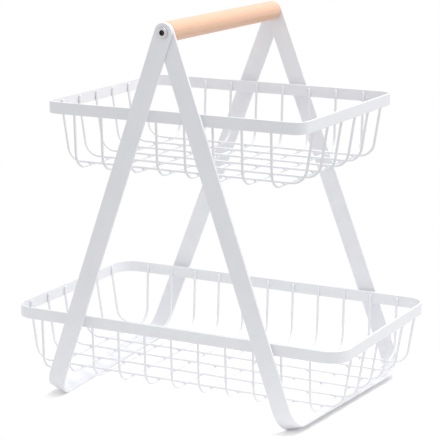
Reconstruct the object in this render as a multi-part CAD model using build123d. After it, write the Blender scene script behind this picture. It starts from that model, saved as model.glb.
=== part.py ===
from build123d import *
from math import cos, radians, sin, tan
import os

# A tiered wire basket. Two U frames bent from flat strap cross under a wooden carrying grip.
# Two wire baskets hang between their legs, on tongues that drop into keepers behind the legs.
# Millimetres. +X runs along the baskets, +Y from front to rear, +Z up.
# The origin lies on the floor under the middle of the grip.

# Stand, two leaning U frames of flat strap. The rear legs spread a little wider than the front ones
grip_axis_height = 404.0
front_lean_angle = 19.4
rear_lean_angle = 21.2
strap_width = 20.0
strap_thickness = 3.0
strap_edge_radius = 0.5
foot_bend_radius = 22.0
foot_flat_depth = 0.5
frame_clearance = 0.2
leg_stand_off = 4.5

# Grip, the threaded inserts in its ends and the bolts that join it to the frames
grip_diameter = 21.0
grip_end_radius = 2.0
grip_end_clearance = 0.3
insert_diameter = 10.0
insert_length = 15.0
insert_recess = 0.5
insert_clearance = 0.05
bolt_diameter = 6.0
bolt_length = 20.0
bolt_tip_chamfer = 0.8
bolt_head_diameter = 11.6
bolt_head_height = 2.0
bolt_head_crown = 0.9
bolt_head_clearance = 0.1
bolt_running_clearance = 0.08
bolt_thread_clearance = 0.05
bolt_tip_room = 3.0
socket_across_flats = 5.0
socket_depth = 1.4

# Rims, bands of flat strap on edge, each bent into a rounded rectangle
rim_depth = 237.0
rim_height = 12.7
rim_thickness = 2.0
rim_edge_radius = 0.5
upper_rim_length = 302.0
upper_rim_top = 322.5
upper_rim_corner_radius = 16.0
lower_rim_length = 393.0
lower_rim_top = 93.5
lower_rim_corner_radius = 23.0

# Wires, welded to the inside of the rims and to each other
wire_diameter = 2.8
weld_gap = 0.05
wire_end_drop = 2.4
cross_wire_margin = 36.0
long_wire_margin = 32.0
basket_drop = 72.0
wire_floor_bend = 17.0
wire_rim_bend = 9.0
rim_to_bend = 1.0
side_wall_inset = 2.6
end_wall_inset = 8.5
upper_cross_wire_count = 8
lower_cross_wire_count = 11
long_wire_count = 6

# Tongues on the rims and the keepers on the legs that they drop into
sheet_thickness = 1.2
tongue_width = 9.0
tongue_clearance = 0.15
tongue_top_drop = 1.5
tongue_pad_height = 5.5
tongue_reach = 6.6
keeper_width = 14.0
keeper_height = 6.2
keeper_seat_gap = 0.05

# Every cut runs past the far side of what it cuts by this much
cut_overrun = 1.0

half_strap = strap_width / 2
rim_half_depth = rim_depth / 2
inner_frame_face = rim_half_depth + leg_stand_off
outer_frame_face = inner_frame_face + strap_thickness + frame_clearance
grip_length = 2 * (inner_frame_face - grip_end_clearance)
bolt_seat = outer_frame_face + strap_thickness + bolt_head_clearance
wire_radius = wire_diameter / 2
# The inner faces of each frame's legs: the left frame is the outer one
frame_faces = {"left": outer_frame_face, "right": inner_frame_face}
frame_signs = {"left": -1, "right": 1}
depth_signs = {"front": -1, "rear": 1}
lean_angles = {"front": front_lean_angle, "rear": rear_lean_angle}


def hung_profile(half_depth, bottom, top, corner_radius):
    """A face in the YZ plane, square at the top, its two lower corners rounded."""
    blank = Plane.YZ * Pos(0, (bottom + top) / 2) * Rectangle(2 * half_depth, top - bottom)
    return fillet(blank.vertices().group_by(Axis.Z)[0], corner_radius)


def make_leg(side, place):
    """A leg with its round eye and foot bend, and the section where the foot bar starts."""
    sign = depth_signs[place]
    lean = radians(lean_angles[place])
    drop = (grip_axis_height + foot_flat_depth - half_strap * sin(lean)) / cos(lean)
    inner_half = frame_faces[side]
    outer_half = inner_half + strap_thickness
    bend_end = inner_half - foot_bend_radius
    outer = hung_profile(outer_half, -drop, half_strap, foot_bend_radius + strap_thickness)
    inner = hung_profile(
        inner_half, strap_thickness - drop, half_strap + cut_overrun, foot_bend_radius
    )
    reach = drop + cut_overrun
    leg_outline = Pos(0, -reach / 2) * Rectangle(strap_width, reach) + Circle(half_strap)
    blank_depth = outer_half + cut_overrun - bend_end
    blank = Pos(0, sign * bend_end, 0) * extrude(Plane.XZ * leg_outline, -sign * blank_depth)
    leg = extrude(outer - inner, half_strap, both=True) & blank
    long_edges = [
        edge for edge in leg.faces().filter_by(Axis.X).edges() if edge.length > 2 * strap_thickness
    ]
    eye_edges = [
        edge for edge in leg.edges() if edge.geom_type == GeomType.CIRCLE and edge.center().Z > 0
    ]
    leg = fillet(ShapeList(long_edges + eye_edges), strap_edge_radius)
    hole_radius = bolt_diameter / 2 + bolt_running_clearance
    leg -= Rot(90, 0, 0) * Cylinder(hole_radius, 2 * (outer_half + cut_overrun))
    section = RectangleRounded(strap_width, strap_thickness, strap_edge_radius)
    section = Pos(0, sign * bend_end, strap_thickness / 2 - drop) * Rot(90, 0, 0) * section
    leaning = Pos(0, 0, grip_axis_height) * Rot(0, -frame_signs[side] * lean_angles[place], 0)
    return leaning * leg, leaning * section


def make_frame(side):
    """A front and a rear leg joined by a foot bar, which twists by the difference in their lean."""
    front_leg, front_section = make_leg(side, "front")
    rear_leg, rear_section = make_leg(side, "rear")
    foot_bar = loft([front_section, rear_section], ruled=True)
    below_floor = Pos(0, 0, -grip_axis_height / 2) * Box(
        2 * grip_axis_height, 2 * rim_depth, grip_axis_height
    )
    return front_leg + foot_bar + rear_leg - below_floor


def make_grip():
    """A dowel with eased ends and a stepped blind bore in each end."""
    dowel = Rot(90, 0, 0) * Cylinder(grip_diameter / 2, grip_length)
    dowel = fillet(dowel.edges().filter_by(GeomType.CIRCLE), grip_end_radius)
    bore_radius = insert_diameter / 2 + insert_clearance
    bore_length = insert_recess + insert_length
    tip_radius = bolt_diameter / 2 + bolt_tip_room / 2
    tip_length = bolt_length + bolt_tip_room
    for sign in depth_signs.values():
        mouth = sign * (grip_length / 2 + cut_overrun)
        for radius, length in ((bore_radius, bore_length), (tip_radius, tip_length)):
            run = length + cut_overrun
            dowel -= Pos(0, mouth - sign * run / 2, 0) * Rot(90, 0, 0) * Cylinder(radius, run)
    return Pos(0, 0, grip_axis_height) * dowel


def make_insert(sign):
    """A threaded insert, its thread drawn as a plain bore."""
    tube = Cylinder(insert_diameter / 2, insert_length)
    tube -= Cylinder(bolt_diameter / 2 + bolt_thread_clearance, insert_length + cut_overrun)
    middle = sign * (grip_length / 2 - insert_recess - insert_length / 2)
    return Pos(0, middle, grip_axis_height) * Rot(90, 0, 0) * tube


def make_bolt(sign):
    """A bolt with a flat rounded head and a hexagonal socket, pointing into the grip."""
    head = Pos(0, 0, bolt_head_height / 2) * Cylinder(bolt_head_diameter / 2, bolt_head_height)
    head = fillet(head.edges().group_by(Axis.Z)[-1], bolt_head_crown)
    shank = Pos(0, 0, -bolt_length / 2) * Cylinder(bolt_diameter / 2, bolt_length)
    shank = chamfer(shank.edges().group_by(Axis.Z)[0], bolt_tip_chamfer)
    socket_radius = socket_across_flats / 2 / cos(radians(30))
    socket_run = socket_depth + cut_overrun
    socket_floor = bolt_head_height - socket_depth
    socket = Pos(0, 0, socket_floor) * extrude(RegularPolygon(socket_radius, 6), socket_run)
    return Pos(0, sign * bolt_seat, grip_axis_height) * Rot(-90 * sign, 0, 0) * (head + shank - socket)


def make_rim(length, top, corner_radius):
    """A band on edge, bent into a rounded rectangle."""
    outer = RectangleRounded(length, rim_depth, corner_radius)
    inner = RectangleRounded(
        length - 2 * rim_thickness, rim_depth - 2 * rim_thickness, corner_radius - rim_thickness
    )
    band = extrude(outer - inner, rim_height)
    levels = band.edges().group_by(Axis.Z)
    band = fillet(ShapeList(levels[0] + levels[-1]), rim_edge_radius)
    return Pos(0, 0, top - rim_height) * band


def make_wire(half_span, inset, floor_level, rim_top):
    """A wire in the XZ plane: down the inside of the rim, in along the leaning wall, across."""
    rim_line = half_span - rim_thickness - weld_gap - wire_radius
    bend_level = rim_top - rim_height - rim_to_bend
    corners = [
        (rim_line, rim_top - wire_end_drop),
        (rim_line, bend_level),
        (rim_line - inset, floor_level),
    ]
    far_corners = [(-x, z) for x, z in reversed(corners)]
    bends = (wire_rim_bend, wire_floor_bend, wire_floor_bend, wire_rim_bend)
    route = Plane.XZ * FilletPolyline(*corners, *far_corners, radius=bends)
    return sweep(Plane(origin=route @ 0, z_dir=route % 0) * Circle(wire_radius), path=route)


def spread(count, length, margin):
    """Even places for a number of wires along a rim side of that length."""
    pitch = (length - 2 * margin) / (count - 1)
    return [(index - (count - 1) / 2) * pitch for index in range(count)]


def make_tongue(side, rim_top):
    """A sheet tongue on the rear of a rim: a pad, a step out over the keeper and a blade."""
    blade_face = frame_faces[side] - tongue_clearance
    pad_top = rim_top - tongue_top_drop
    step_top = pad_top - tongue_pad_height
    outline = [
        (rim_half_depth, pad_top),
        (rim_half_depth, step_top - sheet_thickness),
        (blade_face - sheet_thickness, step_top - sheet_thickness),
        (blade_face - sheet_thickness, step_top - sheet_thickness - tongue_reach),
        (blade_face, step_top - sheet_thickness - tongue_reach),
        (blade_face, step_top),
        (rim_half_depth + sheet_thickness, step_top),
        (rim_half_depth + sheet_thickness, pad_top),
    ]
    profile = Plane.YZ * Polygon(*outline, align=None)
    return extrude(profile, tongue_width / 2, both=True)


def make_keeper(side, rim_top):
    """A shallow sheet pocket on the inner face of a rear leg, open at the top and bottom."""
    pocket = sheet_thickness + 2 * tongue_clearance
    seat = rim_top - tongue_top_drop - tongue_pad_height - sheet_thickness - keeper_seat_gap
    body = Box(keeper_width, pocket + sheet_thickness, keeper_height)
    slot = Box(tongue_width + 2 * tongue_clearance, pocket + cut_overrun, keeper_height + cut_overrun)
    slot = Pos(0, (sheet_thickness + cut_overrun) / 2, 0) * slot
    middle = frame_faces[side] - (pocket + sheet_thickness) / 2
    return Pos(0, middle, seat - keeper_height / 2) * (body - slot)


nodes = {f"{side}_frame": make_frame(side) for side in frame_signs}
nodes["grip"] = make_grip()
for place, sign in depth_signs.items():
    nodes[f"{place}_grip_insert"] = make_insert(sign)
    nodes[f"{place}_grip_bolt"] = make_bolt(sign)

tiers = {
    "upper": (upper_rim_length, upper_rim_top, upper_rim_corner_radius, upper_cross_wire_count),
    "lower": (lower_rim_length, lower_rim_top, lower_rim_corner_radius, lower_cross_wire_count),
}
for tier, (rim_length, rim_top, corner_radius, cross_wire_count) in tiers.items():
    nodes[f"{tier}_rim"] = make_rim(rim_length, rim_top, corner_radius)
    cross_floor = rim_top - basket_drop + wire_radius
    long_floor = cross_floor + wire_diameter + weld_gap
    cross_wire = Rot(0, 0, 90) * make_wire(rim_half_depth, side_wall_inset, cross_floor, rim_top)
    for number, x in enumerate(spread(cross_wire_count, rim_length, cross_wire_margin), 1):
        nodes[f"{tier}_cross_wire_{number:02d}"] = Pos(x, 0, 0) * cross_wire
    long_wire = make_wire(rim_length / 2, end_wall_inset, long_floor, rim_top)
    for number, y in enumerate(spread(long_wire_count, rim_depth, long_wire_margin), 1):
        nodes[f"{tier}_long_wire_{number:02d}"] = Pos(0, y, 0) * long_wire
    keeper_level = rim_top - rim_height / 2
    for side, side_sign in frame_signs.items():
        for name, make in (("keeper", make_keeper), ("tongue", make_tongue)):
            rear_piece = make(side, rim_top)
            pieces = {"front": mirror(rear_piece, Plane.XZ), "rear": rear_piece}
            for place, piece in pieces.items():
                leg_offset = (grip_axis_height - keeper_level) * tan(radians(lean_angles[place]))
                nodes[f"{tier}_{place}_{side}_{name}"] = Pos(side_sign * leg_offset, 0, 0) * piece

os.makedirs("parts", exist_ok=True)
for name, solid in nodes.items():
    export_step(solid, f"parts/{name}.step")
print(len(nodes), "nodes, frame faces at", inner_frame_face, "and", outer_frame_face)
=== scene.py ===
# %% [markdown]
# # A tiered wire basket
# This stand holds two wire baskets on a kitchen counter. Two flat straps are bent into U frames
# that cross under a wooden grip, and the baskets hang between their legs. Sizes and places come
# from a CAD model, which is loaded here as the frame. Each part of the frame is then replaced by
# a finer piece of the same size, because CAD faces have sharp edges, no welds and no finish.
# Lengths are in metres, with +X along the baskets, +Y to the rear and +Z up.

import bmesh
import bpy
import numpy as np
from mathutils import Matrix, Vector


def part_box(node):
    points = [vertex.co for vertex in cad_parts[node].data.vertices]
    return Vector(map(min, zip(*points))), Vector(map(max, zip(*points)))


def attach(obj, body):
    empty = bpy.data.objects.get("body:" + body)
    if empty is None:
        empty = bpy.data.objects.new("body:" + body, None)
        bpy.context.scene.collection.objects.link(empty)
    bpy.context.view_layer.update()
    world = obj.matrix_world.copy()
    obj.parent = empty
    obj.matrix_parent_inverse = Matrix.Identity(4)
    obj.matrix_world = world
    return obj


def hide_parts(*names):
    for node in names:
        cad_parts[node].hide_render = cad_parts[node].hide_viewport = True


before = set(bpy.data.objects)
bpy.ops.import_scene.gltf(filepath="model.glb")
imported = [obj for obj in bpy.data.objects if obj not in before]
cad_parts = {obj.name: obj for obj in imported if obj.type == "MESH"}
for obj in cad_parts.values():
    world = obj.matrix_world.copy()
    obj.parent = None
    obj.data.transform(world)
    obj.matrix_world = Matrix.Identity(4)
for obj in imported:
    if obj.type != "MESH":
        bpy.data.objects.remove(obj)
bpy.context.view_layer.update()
NODES = sorted(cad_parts)
MM = 0.001
print("nodes in the frame:", len(NODES))

# %% [markdown]
# ## The camera
# The photograph looks down on the basket a little, from its right front. A camera can be moved by
# eye until the picture looks right, but it is quicker and closer to let the straight edges of the
# legs and rims decide. Its angles, distance and lens were fitted to those edges. A long lens a
# long way off keeps the two rims almost parallel, as the photograph has them.

# %% Work out the view
CAMERA_AZIMUTH = np.radians(27.43)
CAMERA_ELEVATION = np.radians(12.292)
CAMERA_ROLL = np.radians(0.168)


def view_directions():
    """The camera's right, up and back. Back is the way from the basket to the camera.

    The azimuth turns back from the front to the right, and the elevation lifts it. The roll then
    turns right and up about it."""
    back = np.array([
        np.sin(CAMERA_AZIMUTH) * np.cos(CAMERA_ELEVATION),
        -np.cos(CAMERA_AZIMUTH) * np.cos(CAMERA_ELEVATION),
        np.sin(CAMERA_ELEVATION),
    ])
    right = np.array([np.cos(CAMERA_AZIMUTH), np.sin(CAMERA_AZIMUTH), 0])
    up = np.cross(back, right)
    rolled_right = right * np.cos(CAMERA_ROLL) + up * np.sin(CAMERA_ROLL)
    rolled_up = up * np.cos(CAMERA_ROLL) - right * np.sin(CAMERA_ROLL)
    return rolled_right, rolled_up, back


print("the camera looks along", np.round(-view_directions()[2], 3))

# %% Put the camera in its place
CAMERA_DISTANCE = 1.923
LOOK_AT = np.array([0.00685, 0, 0.2])
FOCAL_PIXELS = 1766.9
PRINCIPAL_PIXEL = np.array([227.67, 208.19])
FRAME_PIXELS = 440
SENSOR_WIDTH = 36.0


def add_object(name, data):
    """A new object in the scene, at the origin."""
    thing = bpy.data.objects.new(name, data)
    bpy.context.scene.collection.objects.link(thing)
    return thing


def set_pose(thing, right, up, back, place):
    """Turn an object to three square directions, and move it to its place."""
    pose = Matrix.Identity(4)
    for column, values in enumerate((right, up, back, place)):
        pose.col[column][:3] = values
    thing.matrix_world = pose


def add_camera():
    """A camera whose lens and shift give the fitted focal length and principal pixel."""
    data = bpy.data.cameras.new("camera")
    data.sensor_width = SENSOR_WIDTH
    data.lens = FOCAL_PIXELS / FRAME_PIXELS * SENSOR_WIDTH
    shift = (FRAME_PIXELS / 2 - PRINCIPAL_PIXEL) / FRAME_PIXELS
    data.shift_x, data.shift_y = shift[0], -shift[1]
    camera = add_object("camera", data)
    right, up, back = view_directions()
    set_pose(camera, right, up, back, LOOK_AT + CAMERA_DISTANCE * back)
    bpy.context.scene.camera = camera
    return camera


camera = add_camera()
print("lens:", round(camera.data.lens, 1), "mm, at", np.round(camera.matrix_world.translation, 3))

# %% [markdown]
# ## The white ground
# Behind the basket the photograph is plain white, and soft light comes from all round. A world
# that is bright enough to look white would wash the pale coat out. So this world has two
# strengths. Rays that show the ground itself find white, and all others find a softer light. The
# Light Path node tells them apart.

# %% Add shader nodes with short calls


def add_node(tree, kind, inputs, **options):
    """Add a shader node, set its options, and fill the inputs that are named or numbered.

    An input takes another node's output, or else a plain number, colour or place."""
    node = tree.nodes.new("ShaderNode" + kind)
    for option, choice in options.items():
        setattr(node, option, choice)
    for key, value in inputs.items():
        if isinstance(value, bpy.types.NodeSocket):
            tree.links.new(value, node.inputs[key])
        else:
            node.inputs[key].default_value = value
    return node


def add_math(tree, operation, *values):
    """One step of arithmetic on values and outputs of nodes."""
    return add_node(tree, "Math", dict(enumerate(values)), operation=operation).outputs[0]


def seen_directly(tree):
    """1 for rays that show the ground itself, from the camera, gloss or glass, and else 0."""
    path = add_node(tree, "LightPath", {}).outputs
    seen = add_math(tree, "MAXIMUM", path["Is Camera Ray"], path["Is Glossy Ray"])
    return add_math(tree, "MAXIMUM", seen, path["Is Transmission Ray"])


kinds = [kind for kind in dir(bpy.types) if kind.startswith("ShaderNode")]
print("Blender has", len(kinds), "kinds of shader node to choose from")

# %% Set the world
WHITE = (1, 1, 1, 1)
WORLD_STRENGTH = 0.72


def set_world():
    """White where it is seen, and a soft light everywhere else."""
    world = bpy.data.worlds.new("studio")
    world.use_nodes = True
    tree = world.node_tree
    tree.nodes.clear()
    light = add_node(tree, "Background", {"Color": WHITE, "Strength": WORLD_STRENGTH}).outputs[0]
    white = add_node(tree, "Background", {"Color": WHITE, "Strength": 1.0}).outputs[0]
    mixed = add_node(tree, "MixShader", {0: seen_directly(tree), 1: light, 2: white}).outputs[0]
    add_node(tree, "OutputWorld", {0: mixed})
    bpy.context.scene.world = world


bpy.context.scene.view_settings.view_transform = "Standard"
set_world()
print("nodes in the world:", len(bpy.context.scene.world.node_tree.nodes))

# %% [markdown]
# ## Two lamps
# In the photograph, faces that look right and up are almost white, and faces that look to the
# front are pale gray. So a wide lamp hangs high on the right, and another overhead. Small lamps
# or a sun would draw hard shadows of every wire. Wide ones give the soft shadows of a studio.

# %% Hang the lamps
TARGET = (0, 0, 0.2)
KEY_PLACE = (0.95, 0.5, 2.45)
KEY_SIZE = 1.2
KEY_POWER = 31.0
TOP_PLACE = (0.1, 0.1, 2.6)
TOP_SIZE = 1.8
TOP_POWER = 18.0


def add_lamp(name, place, size, power):
    """A square lamp of that size in metres and power in watts, which faces the basket."""
    data = bpy.data.lights.new(name, "AREA")
    data.shape = "SQUARE"
    data.size = size
    data.energy = power
    lamp = add_object(name, data)
    back = np.subtract(place, TARGET)
    distance = np.linalg.norm(back)
    back = back / distance
    right = np.cross((0, 0, 1), back)
    right = right / np.linalg.norm(right)
    set_pose(lamp, right, np.cross(back, right), back, place)
    print(name, "hangs", round(distance, 2), "m from the basket")


add_lamp("key_lamp", KEY_PLACE, KEY_SIZE, KEY_POWER)
add_lamp("top_lamp", TOP_PLACE, TOP_SIZE, TOP_POWER)

# %% [markdown]
# ## The floor
# The basket stands on white with no edge in sight, and its feet have soft shadows. A floor that
# only catches shadows would send no light back up, and the undersides would be dark. So the floor
# is matt white card. Where it is seen it is lifted a little, and further out it fades into plain
# white, so that no gray disc shows. The card ends a little in front of the basket and on its right,
# so the front gets less light from below than the rear, as in the photograph.

# %% Mix the floor's card
FLOOR_COLOUR = (0.93, 0.93, 0.93, 1)
FLOOR_LIFT = 0.14
FLOOR_FADE_START = 0.16
FLOOR_FADE_END = 0.3


def remap(tree, source, start, end, low=0.0, high=1.0, curve="LINEAR"):
    """Carry a value from the range between start and end to the one between low and high."""
    ranges = {"Value": source, "From Min": start, "From Max": end, "To Min": low, "To Max": high}
    return add_node(tree, "MapRange", ranges, interpolation_type=curve).outputs["Result"]


def floor_card():
    """Matt card near the basket, and plain white further out where it is seen."""
    material = bpy.data.materials.new("floor_card")
    material.use_nodes = True
    tree = material.node_tree
    tree.nodes.clear()
    seen = seen_directly(tree)
    card = add_node(tree, "BsdfDiffuse", {"Color": FLOOR_COLOUR}).outputs[0]
    lift = add_math(tree, "MULTIPLY", seen, FLOOR_LIFT)
    glow = add_node(tree, "Emission", {"Color": WHITE, "Strength": lift}).outputs[0]
    near = add_node(tree, "AddShader", {0: card, 1: glow}).outputs[0]
    far = add_node(tree, "Emission", {"Color": WHITE, "Strength": 1.0}).outputs[0]
    place = add_node(tree, "TexCoord", {}).outputs["Object"]
    distance = add_node(tree, "VectorMath", {0: place}, operation="LENGTH").outputs["Value"]
    fade = remap(tree, distance, FLOOR_FADE_START, FLOOR_FADE_END, curve="SMOOTHSTEP")
    shown = add_math(tree, "MULTIPLY", fade, seen)
    surface = add_node(tree, "MixShader", {0: shown, 1: near, 2: far}).outputs[0]
    add_node(tree, "OutputMaterial", {0: surface})
    return material


print("the card turns plain white between", FLOOR_FADE_START, "and", FLOOR_FADE_END, "m out")

# %% Lay the floor
FLOOR_REACH = 6.0
FLOOR_FRONT = -0.25
FLOOR_RIGHT = 0.3


def add_floor():
    """One face at Z = 0, marked as stage because it is no part of the basket."""
    mesh = bpy.data.meshes.new("floor")
    corners = [
        (-FLOOR_REACH, FLOOR_FRONT, 0), (FLOOR_RIGHT, FLOOR_FRONT, 0),
        (FLOOR_RIGHT, FLOOR_REACH, 0), (-FLOOR_REACH, FLOOR_REACH, 0),
    ]
    mesh.from_pydata(corners, [], [(0, 1, 2, 3)])
    mesh.materials.append(floor_card())
    floor = add_object("floor", mesh)
    return floor


print("the floor measures", np.round(add_floor().dimensions[:2], 2), "m")

# %% [markdown]
# ## Starting a finish
# Every finish here starts from one Principled shader and varies its colour, gloss and surface a
# little, as no real surface is the same all over. Pictures could do that, but they need a layout
# on each piece. Noise that is worked out from a point's own place needs none, and it has the same
# scale on every piece.

# %% A shader and what varies it


def new_material(name, colour, roughness, metallic=0.0):
    """A material with one Principled shader, and its tree and shader to build on."""
    material = bpy.data.materials.new(name)
    material.use_nodes = True
    shader = material.node_tree.nodes["Principled BSDF"]
    shader.inputs["Base Color"].default_value = (*colour, 1)
    shader.inputs["Roughness"].default_value = roughness
    shader.inputs["Metallic"].default_value = metallic
    return material, material.node_tree, shader


def add_noise(tree, scale, detail, stretch=(1, 1, 1)):
    """Noise between 0 and 1 on Object coordinates. A small stretch value makes long streaks."""
    place = add_node(tree, "TexCoord", {}).outputs["Object"]
    mapping = add_node(tree, "Mapping", {"Vector": place, "Scale": stretch})
    settings = {"Vector": mapping.outputs["Vector"], "Scale": scale, "Detail": detail}
    return add_node(tree, "TexNoise", settings).outputs["Fac"]


def add_ramp(tree, source, stops):
    """A colour for each value, from stops that each have a place and a colour."""
    ramp = add_node(tree, "ValToRGB", {"Fac": source})
    elements = ramp.color_ramp.elements
    while len(elements) < len(stops):
        elements.new(0.5)
    for element, (position, colour) in zip(elements, stops):
        element.position = position
        element.color = (*colour, 1)
    return ramp.outputs["Color"]


def add_bump(tree, shader, height, depth, strength):
    """A bump of that depth in metres, from a height between 0 and 1."""
    bump = add_node(tree, "Bump", {"Height": height, "Distance": depth, "Strength": strength})
    tree.links.new(bump.outputs["Normal"], shader.inputs["Normal"])


print("materials so far:", [material.name for material in bpy.data.materials])

# %% [markdown]
# ## White powder coat
# The steel is coated with white powder that was baked on. Up close such a coat has a fine orange
# peel and a satin gloss. Real dents in the mesh would take millions of faces, so a shallow bump
# makes the peel, and slow noise varies the white and the gloss by a few hundredths. The stand and
# the lower basket have almost the same white. The upper basket's white is a little darker, and that
# is painted shade, not a coat of its own.

# %% Spray the coats
PEEL_SCALE = 900
PEEL_DEPTH = 0.04 * MM
CLOUD_SHADE = 0.965


def powder_coat(name, colour):
    """White powder coat: a fine orange peel, and a gloss that varies slowly."""
    material, tree, shader = new_material(name, colour, roughness=0.42)
    shader.inputs["Specular IOR Level"].default_value = 0.45
    cloud = add_noise(tree, scale=35, detail=3.0)
    shade = tuple(CLOUD_SHADE * channel for channel in colour)
    tone = add_ramp(tree, cloud, [(0.3, shade), (0.65, colour)])
    tree.links.new(tone, shader.inputs["Base Color"])
    tree.links.new(remap(tree, cloud, 0, 1, low=0.34, high=0.5), shader.inputs["Roughness"])
    peel = add_noise(tree, scale=PEEL_SCALE, detail=1.0)
    add_bump(tree, shader, peel, PEEL_DEPTH, strength=0.35)
    return material


COATS = {
    "stand": powder_coat("stand_coating", (0.865, 0.87, 0.905)),
    # The upper basket's white is a little darker than the others: painted shade.
    "upper": powder_coat("upper_basket_coating_painted_shade", (0.85, 0.855, 0.885)),
    "lower": powder_coat("lower_basket_coating", (0.87, 0.875, 0.905)),
}
print("coats:", [coat.name for coat in COATS.values()])

# %% [markdown]
# ## The grip's wood
# The grip is a dowel of pale wood. Growth rings run round the pith of the log it was cut from,
# which lies outside the dowel, so they show as long soft bands on its side. Stripes could be
# drawn along it, but they would not match its ends. Rings that are worked out round a pith give
# the bands on the side and the arcs on the ends by themselves.

# %% Grow the rings
grip_low, grip_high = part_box("grip")
AXIS_HEIGHT = (grip_low.z + grip_high.z) / 2
PITH_OFFSET = 0.055
RING_WIDTH = 2.6 * MM
RING_WANDER = 2.5 * RING_WIDTH


def distance_from_line(tree, x, z):
    """How far each point lies from a line that runs front to rear at that x and z."""
    place = add_node(tree, "TexCoord", {}).outputs["Object"]
    settings = {"Vector": place, "Location": (x, 0, z)}
    centred = add_node(tree, "Mapping", settings, vector_type="TEXTURE").outputs["Vector"]
    flat = add_node(tree, "VectorMath", {0: centred, 1: (1, 0, 1)}, operation="MULTIPLY").outputs[0]
    return add_node(tree, "VectorMath", {0: flat}, operation="LENGTH").outputs["Value"]


def growth_rings(tree):
    """A value that climbs from 0 to 1 across each ring: the fraction of the rings passed.

    The distance from the pith wanders a little along the grain, and is divided by the width of a
    ring."""
    from_pith = distance_from_line(tree, PITH_OFFSET, AXIS_HEIGHT - PITH_OFFSET / 2)
    wander = add_noise(tree, scale=30, detail=2.0, stretch=(1, 0.12, 1))
    distance = add_math(tree, "MULTIPLY_ADD", wander, RING_WANDER, from_pith)
    return add_math(tree, "FRACT", add_math(tree, "MULTIPLY", distance, 1 / RING_WIDTH))


print("the grip's axis is", round(AXIS_HEIGHT / MM, 1), "mm over the counter")

# %% [markdown]
# Between the rings the wood has fibres and short dark flecks, all drawn out along the grain. Both
# are noise that is stretched front to rear. The fibres soften the bands and roughen the surface,
# and only the highest peaks of the other noise turn into flecks.

# %% Mix the wood
WOOD_LIGHT = (0.8, 0.51, 0.36)
WOOD_DARK = (0.715, 0.415, 0.265)
WOOD_FLECK = (0.52, 0.29, 0.16)
FLECK_SHARE = 0.35
FIBRE_DEPTH = 0.05 * MM


def add_tint(tree, share, first, second):
    """Two colours blended: the first one where the share is 0, the second where it is 1."""
    return add_node(tree, "Mix", {0: share, 6: first, 7: second}, data_type="RGBA").outputs[2]


def grip_wood():
    """Pale wood with bands, fibres and flecks."""
    material, tree, shader = new_material("grip_wood", WOOD_LIGHT, roughness=0.5)
    bands = add_ramp(tree, growth_rings(tree), [
        (0.0, WOOD_LIGHT), (0.55, WOOD_LIGHT), (0.9, WOOD_DARK), (1.0, WOOD_LIGHT),
    ])
    fibre = add_noise(tree, scale=900, detail=2.0, stretch=(1, 0.03, 1))
    soft = add_tint(tree, remap(tree, fibre, 0, 1, low=0.35, high=0.75), bands, (*WOOD_LIGHT, 1))
    peaks = add_noise(tree, scale=700, detail=1.0, stretch=(1, 0.12, 1))
    flecks = add_ramp(tree, peaks, [(0.66, (0, 0, 0)), (0.74, (1, 1, 1))])
    share = add_math(tree, "MULTIPLY", flecks, FLECK_SHARE)
    tree.links.new(add_tint(tree, share, soft, (*WOOD_FLECK, 1)), shader.inputs["Base Color"])
    tree.links.new(remap(tree, fibre, 0, 1, low=0.42, high=0.58), shader.inputs["Roughness"])
    add_bump(tree, shader, fibre, FIBRE_DEPTH, strength=0.4)
    return material


WOOD = grip_wood()
print("the wood takes", len(WOOD.node_tree.nodes), "nodes")

# %% [markdown]
# ## Plated steel and brass
# The bolts are plated steel, and the inserts that they screw into are brass. Both were turned, so
# fine marks run round them. The bolt's socket looks almost black in the photograph, though it is
# shallow. More shade could be had from a deeper socket. Instead the shade is painted: close to the
# axis, in the socket and in the insert's bore, the colour turns almost black, so it depends on the
# distance from the axis.

# %% Polish the metals
# The almost black colour of the painted shade in the bolt's socket and the insert's bore, and how far out
# from the axis it reaches.
PAINTED_SHADE_COLOUR = (0.035, 0.035, 0.04)
PAINTED_SHADE_EDGE_SHARES = (0.97, 1.03)
FILM_SHADE = 0.86
MARK_DEPTH = 0.01 * MM
SOCKET_SHADE_RADIUS = 2.92 * MM
BORE_SHADE_RADIUS = 3.1 * MM


def turned_metal(name, colour, roughness, painted_shade_radius):
    """Metal off a lathe: fine marks, a cloudy film, and painted shade, almost black, out to a radius from
    the axis.
    """
    material, tree, shader = new_material(name, colour, roughness, metallic=1.0)
    film = add_noise(tree, scale=180, detail=3.0)
    shade = tuple(FILM_SHADE * channel for channel in colour)
    clean = add_ramp(tree, film, [(0.3, shade), (0.7, colour)])
    # Painted shade: within the radius the colour blends to almost black, for the shade in the socket and
    # the bore.
    start, end = (share * painted_shade_radius for share in PAINTED_SHADE_EDGE_SHARES)
    beyond_shade = remap(tree, distance_from_line(tree, 0, AXIS_HEIGHT), start, end)
    with_painted_shade = add_tint(tree, beyond_shade, (*PAINTED_SHADE_COLOUR, 1), clean)
    tree.links.new(with_painted_shade, shader.inputs["Base Color"])
    gloss = remap(tree, film, 0, 1, low=roughness - 0.06, high=roughness + 0.08)
    tree.links.new(gloss, shader.inputs["Roughness"])
    marks = add_noise(tree, scale=1500, detail=2.0, stretch=(1, 12, 1))
    add_bump(tree, shader, marks, MARK_DEPTH, strength=0.3)
    return material


STEEL = turned_metal("bolt_steel", (0.62, 0.62, 0.64), 0.24, SOCKET_SHADE_RADIUS)
BRASS = turned_metal("insert_brass", (0.72, 0.56, 0.30), 0.35, BORE_SHADE_RADIUS)
print("materials now:", len(bpy.data.materials))

# %% [markdown]
# ## From grids of points to pieces
# Stock cylinders and boxes could be bent and cut into these pieces, with many steps for each. Here
# a piece is a surface instead: a grid of points in rows and columns, worked out with numpy, which
# says the whole shape in one formula. Four neighbours make a face. Where two grids meet, their
# shared points are merged into one closed skin, and its faces are turned outwards.

# %% Make faces between neighbours


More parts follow.
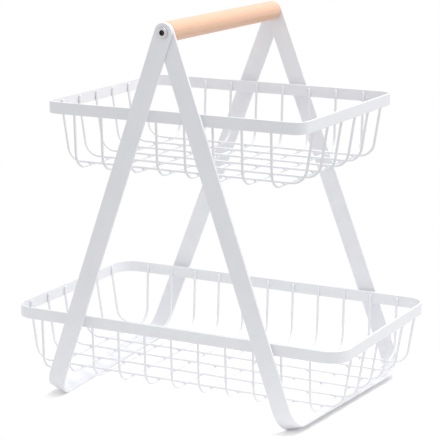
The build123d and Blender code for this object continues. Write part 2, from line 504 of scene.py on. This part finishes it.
def grid_faces(rows, columns, start=0, close_rows=False, close_columns=False):
    """Quads between neighbours on a grid whose first point has the index start."""
    index = start + np.arange(rows * columns).reshape(rows, columns)
    if close_rows:
        index = np.vstack([index, index[:1]])
    if close_columns:
        index = np.hstack([index, index[:, :1]])
    corners = [index[:-1, :-1], index[:-1, 1:], index[1:, 1:], index[1:, :-1]]
    return np.stack(corners, axis=-1).reshape(-1, 4)


print("a sheet of 3 by 4 points has", len(grid_faces(3, 4)), "faces")
print("rolled into a tube it has", len(grid_faces(3, 4, close_columns=True)))

# %% Join grids into one skin
MERGE_DISTANCE = 0.002 * MM


def mesh_from_grids(name, grids):
    """One mesh from grids, each given as points, close_rows and close_columns."""
    points, faces, start = [], [], 0
    for grid, close_rows, close_columns in grids:
        rows, columns = grid.shape[:2]
        faces.append(grid_faces(rows, columns, start, close_rows, close_columns))
        points.append(grid.reshape(-1, 3))
        start += rows * columns
    mesh = bpy.data.meshes.new(name)
    mesh.from_pydata(np.concatenate(points), [], np.concatenate(faces).tolist())
    work = bmesh.new()
    work.from_mesh(mesh)
    bmesh.ops.remove_doubles(work, verts=work.verts, dist=MERGE_DISTANCE)
    bmesh.ops.recalc_face_normals(work, faces=work.faces)
    work.to_mesh(mesh)
    work.free()
    return mesh


print("points within", MERGE_DISTANCE / MM, "mm of each other become one")

# %% Hand a finished piece over
SHARP_ANGLE = np.radians(40)


def add_piece(name, mesh, material, body, replaced):
    """Shade a mesh softly up to its sharp edges, and put it on its body.

    It takes the place of the frame's nodes that it stands for."""
    mesh.polygons.foreach_set("use_smooth", np.ones(len(mesh.polygons), bool))
    mesh.set_sharp_from_angle(angle=SHARP_ANGLE)
    mesh.materials.append(material)
    piece = add_object(name, mesh)
    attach(piece, body)
    if replaced:
        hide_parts(*replaced)


print("edges that turn more than", round(np.degrees(SHARP_ANGLE)), "degrees stay sharp")

# %% [markdown]
# ## Paths with round bends
# Strap, band, wire and sheet are bent from straight stock, so they have straight runs with round
# bends between them. A smooth curve through the corners would bend everywhere. So a path is given
# by its corners and the radius of each bend, as on a bending drawing, and an arc is fitted into
# each corner.

# %% Bend a path


def turned_left(directions):
    """The same flat directions, turned left by a right angle."""
    return np.stack([-directions[..., 1], directions[..., 0]], axis=-1)


def bent_path(corners, radii, steps=8):
    """A flat path through corners with round bends: its points and its unit directions.

    At a corner the path leaves one run and joins the next on an arc. The arc starts the radius
    times the tangent of half the turn before the corner, and its points go round evenly."""
    corners = np.asarray(corners, float)
    runs = np.diff(corners, axis=0)
    along = runs / np.linalg.norm(runs, axis=1)[:, None]
    points, directions = [corners[:1]], [along[:1]]
    for corner, before, after, radius in zip(corners[1:-1], along[:-1], along[1:], radii):
        turn = np.arctan2(before[0] * after[1] - before[1] * after[0], before @ after)
        start = corner - before * radius * np.tan(abs(turn) / 2)
        inward = np.sign(turn) * turned_left(before)
        angles = np.linspace(0, abs(turn), steps + 1)[:, None]
        arc = start + radius * (np.sin(angles) * before + (1 - np.cos(angles)) * inward)
        points.append(arc)
        directions.append(np.cos(angles) * before + np.sin(angles) * inward)
    points.append(corners[-1:])
    directions.append(along[-1:])
    return np.concatenate(points), np.concatenate(directions)


elbow = bent_path([(0, 0), (1, 0), (1, 1)], [0.5])[0]
elbow_length = np.linalg.norm(np.diff(elbow, axis=0), axis=1).sum()
print("an elbow with sides of 1 is", round(elbow_length, 3), "long")

# %% Cut long runs up


def subdivided(path, directions, longest):
    """The same path with its long straight runs cut into even pieces."""
    gaps = np.linalg.norm(np.diff(path, axis=0), axis=1)
    counts = np.maximum(np.ceil(gaps / longest).astype(int), 1)
    stations = np.concatenate([
        index + np.arange(count) / count for index, count in enumerate(counts)
    ] + [[len(path) - 1.0]])
    whole = np.arange(len(path))
    parts = [np.interp(stations, whole, values) for values in (*path.T, *directions.T)]
    turned = np.stack(parts[2:], axis=1)
    return np.stack(parts[:2], axis=1), turned / np.linalg.norm(turned, axis=1)[:, None]


print("a run of 1 cut at 0.3 has", len(subdivided(elbow[:2], elbow[1:3], 0.3)[0]), "points")

# %% [markdown]
# ## The U frames
# Each frame is one flat strap, 20 mm wide and 3 mm thick. It runs down from a round eye, turns in
# over the floor, runs back and rises to the other eye. The real strap is punched flat and then
# bent, and the piece is made that way too. A flat sheet in the middle of the strap is bent to
# shape, Solidify gives it its thickness and Bevel rounds its edges, as rolling rounds real strap.

# %% Sizes of the strap
LEFT, RIGHT = -1, 1
FRONT, REAR = -1, 1
STRAP_WIDTH = 20 * MM
STRAP_THICKNESS = 3 * MM
LEANS = {FRONT: np.radians(19.4), REAR: np.radians(21.2)}
SUPPORT_SHARE = 0.9
STRAP_COLUMN_SHARES = np.array([-1, -SUPPORT_SHARE, -0.4, 0, 0.4, SUPPORT_SHARE, 1])
STRAP_COLUMNS = STRAP_WIDTH / 2 * STRAP_COLUMN_SHARES


def lean_out(across, depth, down, end, side):
    """Turn a leg's own places about the grip's axis by its lean, and set them in the room."""
    lean = LEANS[end]
    x = across * np.cos(lean) + side * down * np.sin(lean)
    z = AXIS_HEIGHT - down * np.cos(lean) + side * across * np.sin(lean)
    return np.stack(np.broadcast_arrays(x, end * depth, z), axis=-1)


tip = lean_out(0, 0, 400 * MM, FRONT, RIGHT)
print("a front leg stands", round(tip[0] / MM), "mm out after 400 mm of strap")

# %% Punch the round eye
EYE_REACH = 14 * MM
EYE_ARC_STEPS = 40
EYE_SIDE_STEPS = 3
HOLE_RADIUS = 3.08 * MM
HOLE_RING_SHARE = 1.3


def eye_sheet():
    """The round eye and the top of the leg, flat: across the strap and down it, ring by ring.

    The outer ring follows the half circle over the hole, then the straight sides and the line
    where the leg goes on. Each point of an inner ring lies on the way to the middle of the hole."""
    half = STRAP_WIDTH / 2
    turn = np.linspace(0, np.pi, EYE_ARC_STEPS + 1)
    arc = half * np.stack([np.cos(turn), -np.sin(turn)], axis=1)
    side = np.linspace(0, EYE_REACH, EYE_SIDE_STEPS + 1)[1:]
    left = np.stack([np.full(EYE_SIDE_STEPS, -half), side], axis=1)
    inner_columns = STRAP_COLUMNS[1:-1]
    below = np.stack([inner_columns, np.full(len(inner_columns), EYE_REACH)], axis=1)
    right = np.stack([np.full(EYE_SIDE_STEPS, half), side[::-1]], axis=1)
    outer = np.concatenate([arc, left, below, right])
    distance = np.linalg.norm(outer, axis=1)[:, None]
    hole = outer / distance * HOLE_RADIUS
    return np.stack([outer, SUPPORT_SHARE * outer, HOLE_RING_SHARE * hole, hole])


print("an eye has", eye_sheet().shape[0], "rings of", eye_sheet().shape[1], "points")

# %% Run down a leg and round its foot
FOOT_BEND = 22 * MM
FOOT_STEPS = 14
FOOT_FLAT = 0.5 * MM
LEG_STEP = 25 * MM
BAR_STEPS = 12


def leg_stations(inner_face, end):
    """Stations down a leg and round its foot bend: depth and distance below the grip's axis."""
    lean = LEANS[end]
    drop = (AXIS_HEIGHT + FOOT_FLAT - STRAP_WIDTH / 2 * np.sin(lean)) / np.cos(lean)
    middle = inner_face + STRAP_THICKNESS / 2
    base = drop - STRAP_THICKNESS / 2
    bend = FOOT_BEND + STRAP_THICKNESS / 2
    corners = [(middle, EYE_REACH), (middle, base), (inner_face - FOOT_BEND, base)]
    path, directions = bent_path(corners, [bend], steps=FOOT_STEPS)
    return subdivided(path[:-1], directions[:-1], LEG_STEP)[0]


def strap_sheet(name, side):
    """The strap as a thin sheet: two eyes, two legs, and a foot bar between their last rows.

    The legs lean differently, so the bar twists: it goes evenly from one row to the other."""
    inner_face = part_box(name)[1].y - STRAP_THICKNESS
    grids, bar_ends = [], []
    for end in (FRONT, REAR):
        across, down = np.moveaxis(eye_sheet(), -1, 0)
        eye = lean_out(across, inner_face + STRAP_THICKNESS / 2, down, end, side)
        grids.append((eye, False, True))
        stations = leg_stations(inner_face, end)
        leg = lean_out(STRAP_COLUMNS, stations[:, :1], stations[:, 1:], end, side)
        grids.append((leg, False, False))
        bar_ends.append(leg[-1])
    share = np.linspace(0, 1, BAR_STEPS)[:, None, None]
    grids.append((bar_ends[0] * (1 - share) + bar_ends[1] * share, False, False))
    return mesh_from_grids(name + "_sheet", grids)


stations = leg_stations(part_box("left_frame")[1].y - STRAP_THICKNESS, FRONT)
print("a leg and its foot take", len(stations), "rows of", len(STRAP_COLUMNS), "points")

# %% Thicken both straps and round their edges
STRAP_EDGE = 0.5 * MM
EDGE_SEGMENTS = 3
EDGE_ANGLE = np.radians(60)


def thickened(mesh):
    """A sheet given its thickness about the middle, with rounded edges, as a finished mesh.

    The foot's lowest points are then set on the floor."""
    sheet = add_object(mesh.name, mesh)
    wall = sheet.modifiers.new("thickness", "SOLIDIFY")
    wall.thickness = STRAP_THICKNESS
    wall.offset = 0
    wall.use_even_offset = True
    edge = sheet.modifiers.new("rolled_edge", "BEVEL")
    edge.width = STRAP_EDGE
    edge.segments = EDGE_SEGMENTS
    edge.limit_method = "ANGLE"
    edge.angle_limit = EDGE_ANGLE
    depsgraph = bpy.context.evaluated_depsgraph_get()
    finished = bpy.data.meshes.new_from_object(sheet.evaluated_get(depsgraph))
    bpy.data.objects.remove(sheet)
    places = np.empty(3 * len(finished.vertices))
    finished.vertices.foreach_get("co", places)
    places[2::3] = np.maximum(places[2::3], 0)
    finished.vertices.foreach_set("co", places)
    return finished


for name, side in (("left_frame", LEFT), ("right_frame", RIGHT)):
    mesh = thickened(strap_sheet(name, side))
    add_piece(name + "_strap", mesh, COATS["stand"], "stand", [name])
    print(name, len(mesh.polygons), "faces")

# %% [markdown]
# ## The rims
# Each rim is a band on edge, bent into a rounded rectangle. A box with its middle cut out would
# have to be bevelled eight times. Instead a small profile is carried round a closed path: every
# point of the profile follows the path at its own distance from it, so the band has the same
# section all the way round, as rolled band has.

# %% Round a profile's corners
PROFILE_STEPS = 4
PROFILE_SUPPORT = 0.25 * MM
QUARTERS = np.array([(1, 1), (-1, 1), (-1, -1), (1, -1)])


def round_corners(half, radius, steps):
    """The corners of a rounded rectangle of those half sizes, and the way outwards at each point.

    Each is a quarter circle about a point that lies the radius in from both sides."""
    turn = np.linspace(0, np.pi / 2, steps + 1) + np.arange(4)[:, None] * np.pi / 2
    outward = np.stack([np.cos(turn), np.sin(turn)], axis=-1)
    middles = QUARTERS * (half - radius)
    return middles[:, None] + radius * outward, outward


def rounded_profile(width, height, radius, support=PROFILE_SUPPORT):
    """A closed rounded rectangle about the origin, with support points beside each corner."""
    arcs, outward = round_corners(np.array([width, height]) / 2, radius, PROFILE_STEPS)
    forward = turned_left(outward)
    before = arcs[:, :1] - support * forward[:, :1]
    after = arcs[:, -1:] + support * forward[:, -1:]
    return np.concatenate([before, arcs, after], axis=1).reshape(-1, 2)


print("a profile has", len(rounded_profile(2 * MM, 12 * MM, 0.5 * MM)), "points")

# %% Carry the profile round each rim
RIM_THICKNESS = 2 * MM
RIM_EDGE = 0.5 * MM
RIM_CORNERS = {"upper": 16 * MM, "lower": 23 * MM}
CORNER_STEPS = 16


def rim_mesh(tier):
    """The band: along the path, the profile's width goes outwards and its height goes up."""
    low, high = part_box(f"{tier}_rim")
    size = np.array(high - low)
    half = (size[:2] - RIM_THICKNESS) / 2
    corners = round_corners(half, RIM_CORNERS[tier] - RIM_THICKNESS / 2, CORNER_STEPS)
    path, outward = (values.reshape(-1, 2) for values in corners)
    profile = rounded_profile(RIM_THICKNESS, size[2], RIM_EDGE)
    flat = path[:, None, :] + outward[:, None, :] * profile[None, :, :1]
    level = (low.z + high.z) / 2 + profile[None, :, 1:]
    band = np.concatenate([flat, np.broadcast_to(level, (*flat.shape[:2], 1))], axis=2)
    return mesh_from_grids(f"{tier}_rim_band", [(band, True, True)])


for tier in ("upper", "lower"):
    mesh = rim_mesh(tier)
    add_piece(f"{tier}_rim_band", mesh, COATS[tier], f"{tier}_basket", [f"{tier}_rim"])
    print(tier, "rim", len(mesh.polygons), "faces")

# %% [markdown]
# ## The wires
# Each wire is a rod bent into a wide U. It starts on the inside of the band, leans in as it goes
# down, and crosses the floor. A curve with a round bevel would do, but its ends would be flat.
# Here a circle is carried along the wire's path, and it shrinks at both ends, where the coat
# rounds the sheared wire over. Each wire lies in an upright plane, so its path is flat.

# %% Draw the line of a wire
WIRE_RADIUS = 1.4 * MM
FLOOR_BEND = 17 * MM
RIM_BEND = 9 * MM
RIM_TO_BEND = 1 * MM
WIRE_STEP = 12 * MM
INSETS = {"cross": 2.6 * MM, "long": 8.5 * MM}
PLANES = {"cross": (1, 0), "long": (0, 1)}


def wire_line(name, kind):
    """The middle line of a wire in its own plane: straight down, in a little, and over the floor."""
    low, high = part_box(name)
    rim_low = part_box(name.split("_")[0] + "_rim")[0]
    reach = high[PLANES[kind][0]] - WIRE_RADIUS
    corners = [
        (reach, high.z),
        (reach, rim_low.z - RIM_TO_BEND),
        (reach - INSETS[kind], low.z + WIRE_RADIUS),
    ]
    corners += [(-x, z) for x, z in reversed(corners)]
    path, directions = bent_path(corners, (RIM_BEND, FLOOR_BEND, FLOOR_BEND, RIM_BEND))
    return subdivided(path, directions, WIRE_STEP)


line = wire_line("upper_cross_wire_01", "cross")[0]
print("a cross wire is", round(np.linalg.norm(np.diff(line, axis=0), axis=1).sum() / MM), "mm long")

# %% Carry a circle along each wire
WIRE_SIDES = 14
CAP_DEPTH = WIRE_RADIUS / 2
CAP_WIDTH_SHARES = np.array([0.0, 0.35, 0.7, 0.92, 1.0])


def with_end_rings(path, directions, depths):
    """The same path, with each of its two end points replaced by points at those depths inside."""
    depths = np.reshape(depths, (-1, 1))
    near = path[:1] + directions[:1] * depths
    far = path[-1:] - directions[-1:] * depths[::-1]
    extra = len(depths) - 1
    turned = [np.repeat(directions[:1], extra, 0), directions, np.repeat(directions[-1:], extra, 0)]
    return np.concatenate([near, path[1:-1], far]), np.concatenate(turned)


def wire_mesh(name, kind):
    """One wire: a circle square to its line, whose width near the ends follows an ellipse.

    A ring of width w lies at a depth of 1 - sqrt(1 - w w) of the cap's."""
    low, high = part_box(name)
    along, beside = PLANES[kind]
    depths = CAP_DEPTH * (1 - np.sqrt(1 - CAP_WIDTH_SHARES ** 2))
    path, directions = with_end_rings(*wire_line(name, kind), depths)
    full = np.ones(len(path) - 2 * len(depths))
    radius = WIRE_RADIUS * np.concatenate([CAP_WIDTH_SHARES, full, CAP_WIDTH_SHARES[::-1]])[:, None]
    turn = np.linspace(0, 2 * np.pi, WIRE_SIDES, endpoint=False)
    normals = turned_left(directions)
    rod = np.empty((len(path), WIRE_SIDES, 3))
    rod[..., along] = path[:, :1] + normals[:, :1] * radius * np.cos(turn)
    rod[..., 2] = path[:, 1:] + normals[:, 1:] * radius * np.cos(turn)
    rod[..., beside] = (low[beside] + high[beside]) / 2 + radius * np.sin(turn)
    return mesh_from_grids(name + "_rod", [(rod, False, True)])


for name in NODES:
    if "_wire_" in name:
        tier, kind = name.split("_")[:2]
        mesh = wire_mesh(name, kind)
        add_piece(name + "_rod", mesh, COATS[tier], f"{tier}_basket", [name])
print("each wire has about", len(mesh.polygons), "faces")

# %% [markdown]
# ## The weld beads
# Each wire is pressed and welded onto the wires that it crosses, and onto the inside of the rim.
# The weld leaves a small smooth swelling in the corner, and the coat covers it. Melting the rods
# together would give that swelling, but would spoil their clean circles. A squashed ball set into
# each joint looks the same, and no two beads are quite as large, as with real welds.

# %% Squash a ball for each bead
BEAD_ROWS = 8
BEAD_SIDES = 12


def bead_mesh(name, centres, radii):
    """One squashed ball for each centre: p = c + r (sin a cos t, sin a sin t, cos a)."""
    tilt = np.linspace(0, np.pi, BEAD_ROWS)[:, None]
    turn = np.linspace(0, 2 * np.pi, BEAD_SIDES, endpoint=False)[None, :]
    sides = [np.sin(tilt) * np.cos(turn), np.sin(tilt) * np.sin(turn), np.cos(tilt) + 0 * turn]
    ball = np.stack(sides, axis=-1)
    beads = centres[:, None, None, :] + radii[:, None, None, :] * ball
    return mesh_from_grids(name, [(bead, False, True) for bead in beads])


print("a bead has", (BEAD_ROWS - 1) * BEAD_SIDES, "faces")

# %% Find where the wires are welded
WELD_GAP = 0.05 * MM
RIM_BEAD_WIDTH = 1.35 * MM
RIM_BEAD_DEPTH = 0.5 * MM
RIM_BEAD_HEIGHT = 3.2 * MM
RIM_BEAD_BITE = 0.25 * MM


def wire_boxes(start):
    """The boxes of the wires whose names start so, each as its lowest and highest corner."""
    return np.array([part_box(name) for name in NODES if name.startswith(start)])


def crossing_places(cross, long):
    """Where a long wire lies on a cross wire: x from one, y from the other, z where they touch."""
    x, y = np.meshgrid(cross.mean(axis=1)[:, 0], long.mean(axis=1)[:, 1])
    z = np.full(x.shape, long[0, 0, 2] - WELD_GAP / 2)
    return np.stack([x, y, z], axis=-1).reshape(-1, 3)


def rim_places(tier, cross, long):
    """Where the wires' ends touch the rim: half way up it, on all four of its inner faces."""
    low, high = (np.array(corner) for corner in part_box(f"{tier}_rim"))
    level = (low[2] + high[2]) / 2
    reach = high - RIM_THICKNESS - RIM_BEAD_BITE
    x, y = cross.mean(axis=1)[:, 0], long.mean(axis=1)[:, 1]
    wide = [np.stack(np.broadcast_arrays(x, sign * reach[1], level), axis=1) for sign in (-1, 1)]
    deep = [np.stack(np.broadcast_arrays(sign * reach[0], y, level), axis=1) for sign in (-1, 1)]
    along_x = np.array([RIM_BEAD_WIDTH, RIM_BEAD_DEPTH, RIM_BEAD_HEIGHT])
    radii = [np.tile(along_x, (2 * len(x), 1)), np.tile(along_x[[1, 0, 2]], (2 * len(y), 1))]
    return np.concatenate(wide + deep), np.concatenate(radii)


print("cross wires above and below:", [len(wire_boxes(start)) for start in ("upper_cross", "lower_cross")])

# %% Weld both baskets
CROSSING_BEAD = np.array([1.2, 1.2, 0.6]) * MM
BEAD_SPREAD = 0.12

for seed, tier in enumerate(("upper", "lower")):
    cross, long = wire_boxes(f"{tier}_cross"), wire_boxes(f"{tier}_long")
    crossings = crossing_places(cross, long)
    ends, end_radii = rim_places(tier, cross, long)
    radii = np.concatenate([np.tile(CROSSING_BEAD, (len(crossings), 1)), end_radii])
    size = np.random.default_rng(seed).uniform(1 - BEAD_SPREAD, 1, (len(radii), 1))
    mesh = bead_mesh(f"{tier}_weld_beads", np.concatenate([crossings, ends]), radii * size)
    add_piece(f"{tier}_weld_beads", mesh, COATS[tier], f"{tier}_basket", [])
    print(tier, "basket:", len(radii), "weld beads")

# %% [markdown]
# ## The grip
# The grip is a wooden dowel with eased ends and a stepped bore in each end for its insert. It came
# off a lathe, so it is a profile carried round its axis. The profile starts on the axis, at the
# end of one bore, goes out over the end, along the outside and into the other bore. The dowel is
# closed that way without cutting one shape out of another, which leaves ragged faces.

# %% Carry a profile round the grip's axis
TURNED_SIDES = 72
SUPPORT_REACH = 0.15 * MM
LONG_RUN = 3 * SUPPORT_REACH
TURN = np.linspace(0, 2 * np.pi, TURNED_SIDES, endpoint=False)


def supported(path):
    """The same path with a point added just inside both ends of every long run."""
    gaps = np.linalg.norm(np.diff(path, axis=0), axis=1)
    whole = np.arange(len(path))
    before = (whole[:-1] + SUPPORT_REACH / gaps)[gaps > LONG_RUN]
    after = (whole[1:] - SUPPORT_REACH / gaps)[gaps > LONG_RUN]
    stations = np.sort(np.concatenate([whole, before, after]))
    return np.stack([np.interp(stations, whole, values) for values in path.T], axis=1)


def turned_mesh(name, radius, along, closed=False):
    """A surface round the grip's axis: x = r cos t, y = the place along it, z = h + r sin t."""
    radius = np.broadcast_to(np.reshape(radius, (len(along), -1)), (len(along), TURNED_SIDES))
    rows = np.empty((len(along), TURNED_SIDES, 3))
    rows[..., 0] = radius * np.cos(TURN)
    rows[..., 1] = np.reshape(along, (-1, 1))
    rows[..., 2] = AXIS_HEIGHT + radius * np.sin(TURN)
    return mesh_from_grids(name, [(rows, closed, True)])


print("one row of a turned piece has", TURNED_SIDES, "points")

# %% Turn the grip
GRIP_EASE = 2 * MM
BORE_RADIUS = 5.05 * MM
BORE_LENGTH = 15.5 * MM
TIP_BORE_RADIUS = 4.5 * MM
TIP_BORE_LENGTH = 23 * MM
SMALL_EASE = 0.2 * MM


def grip_mesh():
    """The dowel: from the floor of one bore, out over the eased end, along, and in again."""
    half = grip_high.y
    outer = (grip_high.z - grip_low.z) / 2
    near = [
        (0, half - TIP_BORE_LENGTH), (TIP_BORE_RADIUS, half - TIP_BORE_LENGTH),
        (TIP_BORE_RADIUS, half - BORE_LENGTH), (BORE_RADIUS, half - BORE_LENGTH),
        (BORE_RADIUS, half), (outer, half),
    ]
    eases = [SMALL_EASE] * 4 + [GRIP_EASE]
    far = [(radius, -place) for radius, place in reversed(near)]
    radius, along = supported(bent_path(near + far, eases + eases[::-1])[0]).T
    return turned_mesh("grip_dowel", radius, along)


mesh = grip_mesh()
add_piece("grip_dowel", mesh, WOOD, "handle", ["grip"])
print("the grip has", len(mesh.polygons), "faces")

# %% [markdown]
# ## The inserts
# A brass insert sits in each end of the grip, because a thread cut in end grain would soon strip.
# It is a tube with a coarse thread outside. A true helix could be wound, but the wood hides all
# of it, so plain grooves stand for the thread. Each is a wave of the radius along the tube.

# %% Turn the inserts
INSERT_RADIUS = 5 * MM
INSERT_BORE = 3.05 * MM
THREAD_DEPTH = 0.55 * MM
THREAD_PITCH = 2.4 * MM
THREAD_MARGIN = 1.2 * MM
THREAD_START_SHARE = 0.3
STEPS_PER_PITCH = 12
OUTSIDE_TOLERANCE = 0.02 * MM


def insert_mesh(name):
    """A tube with eased rims, grooved outside: depth times (1 - cos(2 pi y / pitch)) / 2.

    The depth grows from nothing at both ends, so that the rims stay whole."""
    low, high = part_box(name)
    start = INSERT_BORE + THREAD_DEPTH
    corners = [
        (start, low.y), (INSERT_RADIUS, low.y), (INSERT_RADIUS, high.y),
        (INSERT_BORE, high.y), (INSERT_BORE, low.y), (start, low.y),
    ]
    path, directions = bent_path(corners, [SMALL_EASE] * 4)
    radius, along = subdivided(path, directions, THREAD_PITCH / STEPS_PER_PITCH)[0][:-1].T
    from_end = np.minimum(along - low.y, high.y - along) / THREAD_MARGIN
    depth = THREAD_DEPTH * np.clip(from_end - THREAD_START_SHARE, 0, 1)
    groove = depth * (1 - np.cos(2 * np.pi * (along - low.y) / THREAD_PITCH)) / 2
    outside = radius > INSERT_RADIUS - OUTSIDE_TOLERANCE
    return turned_mesh(name + "_turned", radius - groove * outside, along, closed=True)


for place in ("front", "rear"):
    name = f"{place}_grip_insert"
    mesh = insert_mesh(name)
    add_piece(name + "_turned", mesh, BRASS, "handle", [name])
    print(name, len(mesh.polygons), "faces")

# %% [markdown]
# ## The bolts
# A bolt holds each pair of eyes to the grip, with a low rounded head and a hexagonal socket. The
# socket could be cut out of the head, but the cut would leave long thin faces round it. Instead
# the turned profile goes on down into the socket, and there the radius of a row depends on the
# angle. That draws a hexagon in the same grid, and the head's top blends into it.

# %% Turn the bolts
HEAD_RADIUS = 5.8 * MM
HEAD_HEIGHT = 2 * MM
HEAD_CROWN = 0.9 * MM
SHANK_RADIUS = 3 * MM
SHANK_CHAMFER = 0.8 * MM
SOCKET_ACROSS = 5 * MM
SOCKET_DEPTH = 1.4 * MM
SOCKET_CONE = 0.2 * MM
SOCKET_EASE = 0.15 * MM
HEXAGON_SIDE = np.pi / 3


def socket_rows(crown):
    """Rows down into the socket. A side lies half the width w away: r = (w / 2) / cos(angle to it)."""
    hexagon = SOCKET_ACROSS / 2 / np.cos(TURN % HEXAGON_SIDE - HEXAGON_SIDE / 2)
    floor = crown - SOCKET_DEPTH
    return [
        (hexagon + SOCKET_EASE, crown), (hexagon + SOCKET_EASE / 3, crown - SOCKET_EASE / 3),
        (hexagon, crown - SOCKET_EASE), (hexagon, floor + SOCKET_EASE), (hexagon, floor),
        (hexagon - SOCKET_EASE, floor), (0 * hexagon, floor - SOCKET_CONE),
    ]


def bolt_mesh(name):
    """From the tip along the shank, over the low head, and down into the socket."""
    low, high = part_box(name)
    tip, crown = sorted((abs(low.y), abs(high.y)))
    seat = crown - HEAD_HEIGHT
    socket = socket_rows(crown)
    corners = [
        (0, tip), (SHANK_RADIUS - SHANK_CHAMFER, tip), (SHANK_RADIUS, tip + SHANK_CHAMFER),
        (SHANK_RADIUS, seat), (HEAD_RADIUS, seat), (HEAD_RADIUS, crown),
        (socket[0][0].max() + SOCKET_EASE, crown),
    ]
    path = supported(bent_path(corners, [SMALL_EASE] * 4 + [HEAD_CROWN])[0])
    radius = np.concatenate([path[:, :1] + 0 * TURN, np.stack([row for row, place in socket])])
    along = np.concatenate([path[:, 1], [place for row, place in socket]])
    return turned_mesh(name + "_turned", radius, np.sign(low.y) * along)


for place in ("front", "rear"):
    name = f"{place}_grip_bolt"
    mesh = bolt_mesh(name)
    add_piece(name + "_turned", mesh, STEEL, "handle", [name])
    print(name, len(mesh.polygons), "faces")

# %% [markdown]
# ## The tongues
# The baskets hang by small tongues on their rims, one behind each leg. A tongue is a strip of thin
# sheet that steps out from the rim and drops behind the leg. It could be put together from three
# boxes, but folded sheet is round at its folds. So it is made like the rims: a profile is carried
# along a path with two tight bends, and both ends are closed with an eased cap.

# %% Fold the tongues
SHEET = 1.2 * MM
SHEET_EASE = 0.25 * MM
SHEET_SUPPORT = 0.1 * MM
FOLD = 1.2 * MM
FOLD_STEPS = 6
TONGUE_PAD = 5.5 * MM


def tongue_mesh(name):
    """A strip carried along its path. The last ring but one is set in by the ease, and the last
    ring shrinks to a point."""
    low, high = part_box(name)
    near, far = sorted((abs(low.y), abs(high.y)))
    step = high.z - TONGUE_PAD - SHEET / 2
    corners = [
        (near + SHEET / 2, high.z), (near + SHEET / 2, step), (far - SHEET / 2, step),
        (far - SHEET / 2, low.z),
    ]
    path, directions = bent_path(corners, [FOLD, FOLD], steps=FOLD_STEPS)
    path, directions = with_end_rings(path, directions, [0, 0, SHEET_EASE])
    normals = turned_left(directions)
    profile = rounded_profile(SHEET, high.x - low.x, SHEET_EASE, support=SHEET_SUPPORT)
    section = np.repeat(profile[None], len(path), axis=0)
    inset = np.sign(profile) * np.minimum(np.abs(profile), SHEET / 2) * SHEET_EASE / (SHEET / 2)
    section[[1, -2]] -= inset
    section[[0, -1]] = 0
    across = path[:, None, :] + normals[:, None, :] * section[..., :1]
    x = (low.x + high.x) / 2 + section[..., 1]
    strip = np.stack([x, np.sign(low.y) * across[..., 0], across[..., 1]], axis=-1)
    return mesh_from_grids(name + "_folded", [(strip, False, True)])


for name in NODES:
    if "tongue" in name:
        tier = name.split("_")[0]
        mesh = tongue_mesh(name)
        add_piece(name + "_folded", mesh, COATS[tier], f"{tier}_basket", [name])
print("a tongue has", len(mesh.polygons), "faces")

# %% [markdown]
# ## The keepers
# Each leg has a keeper on its inner face, a small pocket of folded sheet that a tongue drops into.
# A box with a slot cut through it would do, but its inner and outer corners would be equally
# sharp. Sheet folds to a wider round outside than inside. So the pocket is the space between two
# bent outlines, one for each face of the sheet.

# %% Fold the keepers
KEEPER_SLOT = 9.3 * MM
KEEPER_BACK = 1.2 * MM
KEEPER_OUTER_BEND = 1.1 * MM
KEEPER_INNER_BEND = 0.3 * MM
EASE_SHARES = np.array([0.0, 0.08, 0.3])
EASE_DROP_SHARES = np.array([1, 0.3, 0])


def pocket_outline(half, depth, face, bend):
    """One face of the folded sheet, seen from above: in from the leg, across, and back to it."""
    corners = [(-half, face), (-half, depth), (half, depth), (half, face)]
    return bent_path(corners, [bend, bend], steps=FOLD_STEPS)[0]


def keeper_mesh(name):
    """A pocket between an outer and an inner outline, which have the same number of points.

    Every row joins one point of each outline. It goes out to in over the top edge, and back under
    the bottom edge. Both edges are eased: they drop a little where they meet the faces."""
    low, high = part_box(name)
    back, face = sorted((abs(low.y), abs(high.y)))
    outer = pocket_outline((high.x - low.x) / 2, back, face, KEEPER_OUTER_BEND)
    inner = pocket_outline(KEEPER_SLOT / 2, back + KEEPER_BACK, face, KEEPER_INNER_BEND)
    over = np.concatenate([EASE_SHARES, 1 - EASE_SHARES[::-1]])
    drop = SHEET_EASE * np.concatenate([EASE_DROP_SHARES, EASE_DROP_SHARES[::-1]])
    share = np.concatenate([over, over[::-1]])
    level = np.concatenate([high.z - drop, low.z + drop])
    flat = outer[:, None, :] + (inner - outer)[:, None, :] * share[None, :, None]
    rows = np.stack([(low.x + high.x) / 2 + flat[..., 0], np.sign(low.y) * flat[..., 1],
                     np.broadcast_to(level, flat.shape[:2])], axis=-1)
    caps = [np.broadcast_to(rows[end].mean(axis=0), rows[end].shape)[None] for end in (0, -1)]
    pocket = np.concatenate([caps[0], rows, caps[1]])
    return mesh_from_grids(name + "_folded", [(pocket, False, True)])


for name in NODES:
    if "keeper" in name:
        mesh = keeper_mesh(name)
        add_piece(name + "_folded", mesh, COATS["stand"], "stand", [name])
print("a keeper has", len(mesh.polygons), "faces")
print("nodes still shown as they came:", [n for n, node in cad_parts.items() if not node.hide_render])

# %% [markdown] ## Finish The new pieces have to fill the CAD model's box and not leave it.
